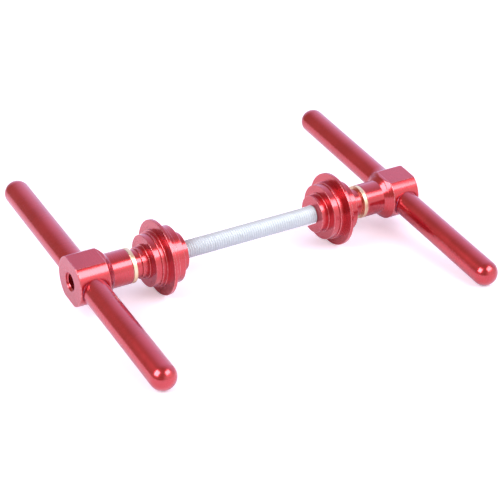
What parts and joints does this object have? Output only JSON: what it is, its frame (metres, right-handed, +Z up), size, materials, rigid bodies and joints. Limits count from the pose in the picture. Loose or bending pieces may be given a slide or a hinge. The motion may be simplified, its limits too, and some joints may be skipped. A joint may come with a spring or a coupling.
{
  "type": "bearing press",
  "caption": "Hand-turned bearing press: T-handles on a threaded rod squeeze stepped, slotted drifts together through brass thrust washers.",
  "frame": {"origin": "middle of the threaded rod", "axes": "+X along the press axis, +Y towards the raised ends of the handles, +Z up as the press lies at rest"},
  "size_m": [0.2978, 0.2546, 0.058],
  "materials": {
    "red_anodised": "glossy red anodised",
    "zinc_plate": "bright zinc plated thread",
    "brass": "turned, pale"
  },
  "bodies": {
    "rod": {"screw_rod": "zinc_plate"},
    "left_washer": {"left_thrust_washer": "brass"},
    "left_handle": {"left_hub": "red_anodised", "left_bar_near": "red_anodised", "left_bar_far": "red_anodised"},
    "left_drift": {"left_drift": "red_anodised"},
    "right_washer": {"right_thrust_washer": "brass"},
    "right_handle": {"right_hub": "red_anodised", "right_bar_near": "red_anodised", "right_bar_far": "red_anodised"},
    "right_drift": {"right_drift": "red_anodised"}
  },
  "joints": [
    {"name": "left_feed", "type": "slide", "parent": "rod", "child": "left_washer", "axis": [1, 0, 0], "range_m": [-0.0081, 0.0361]},
    {"name": "left_handle_turn", "type": "hinge", "parent": "left_washer", "child": "left_handle", "pos_m": [-0.1372, 0, 0], "axis": [1, 0, 0], "range_deg": [-1440, 6480]},
    {"name": "left_drift_slide", "type": "slide", "parent": "left_washer", "child": "left_drift", "axis": [1, 0, 0], "range_m": [0, 0.02]},
    {"name": "right_feed", "type": "slide", "parent": "rod", "child": "right_washer", "axis": [-1, 0, 0], "range_m": [-0.0081, 0.0361]},
    {"name": "right_handle_turn", "type": "hinge", "parent": "right_washer", "child": "right_handle", "pos_m": [0.1372, 0, 0], "axis": [-1, 0, 0], "range_deg": [-1440, 6480]},
    {"name": "right_drift_slide", "type": "slide", "parent": "right_washer", "child": "right_drift", "axis": [-1, 0, 0], "range_m": [0, 0.02]}
  ],
  "couplings": [
    {"joint": "left_feed", "follows": "left_handle_turn", "m_per_rad": 0.00031831},
    {"joint": "right_feed", "follows": "right_handle_turn", "m_per_rad": 0.00031831}
  ]
}
